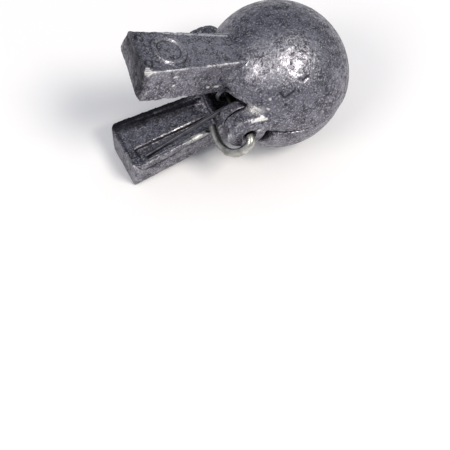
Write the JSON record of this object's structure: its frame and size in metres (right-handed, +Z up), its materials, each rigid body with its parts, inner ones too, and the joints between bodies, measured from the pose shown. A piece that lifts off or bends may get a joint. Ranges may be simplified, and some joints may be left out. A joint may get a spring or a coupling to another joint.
{
  "type": "fishing plummet",
  "caption": "Clip-on lead fishing plummet: a ball split into sprung jaws with squeeze levers, a hinge pin bent round into a wire ring and a torsion spring.",
  "frame": {"origin": "under the middle of the plummet's overall box, on the surface that it lies on", "axes": "+X along the plummet from the lever tips to the mouth, +Y along the hinge pin away from the ring, +Z up from the lower jaw to the upper one"},
  "size_m": [0.0282, 0.0172, 0.0208],
  "materials": {
    "lead": "rough cast lead",
    "ring_wire": "bright drawn wire",
    "spring_wire": "dark spring wire"
  },
  "bodies": {
    "lower_jaw": {"lower_jaw": "lead", "torsion_spring": "spring_wire"},
    "upper_jaw": {"upper_jaw": "lead"},
    "pin_ring": {"pin_ring": "ring_wire"}
  },
  "joints": [
    {"name": "jaw_open", "type": "hinge", "parent": "lower_jaw", "child": "upper_jaw", "pos_m": [-0.00076, 0.00007, 0.0093], "axis": [0, -1, 0], "range_deg": [0, 45], "stiffness_Nm_per_rad": 0.04, "springref_deg": -28.65, "deforming": ["torsion_spring"]},
    {"name": "ring_swing", "type": "hinge", "parent": "lower_jaw", "child": "pin_ring", "pos_m": [-0.00076, 0.00007, 0.0093], "axis": [0, -1, 0], "range_deg": [-20, 0]}
  ]
}
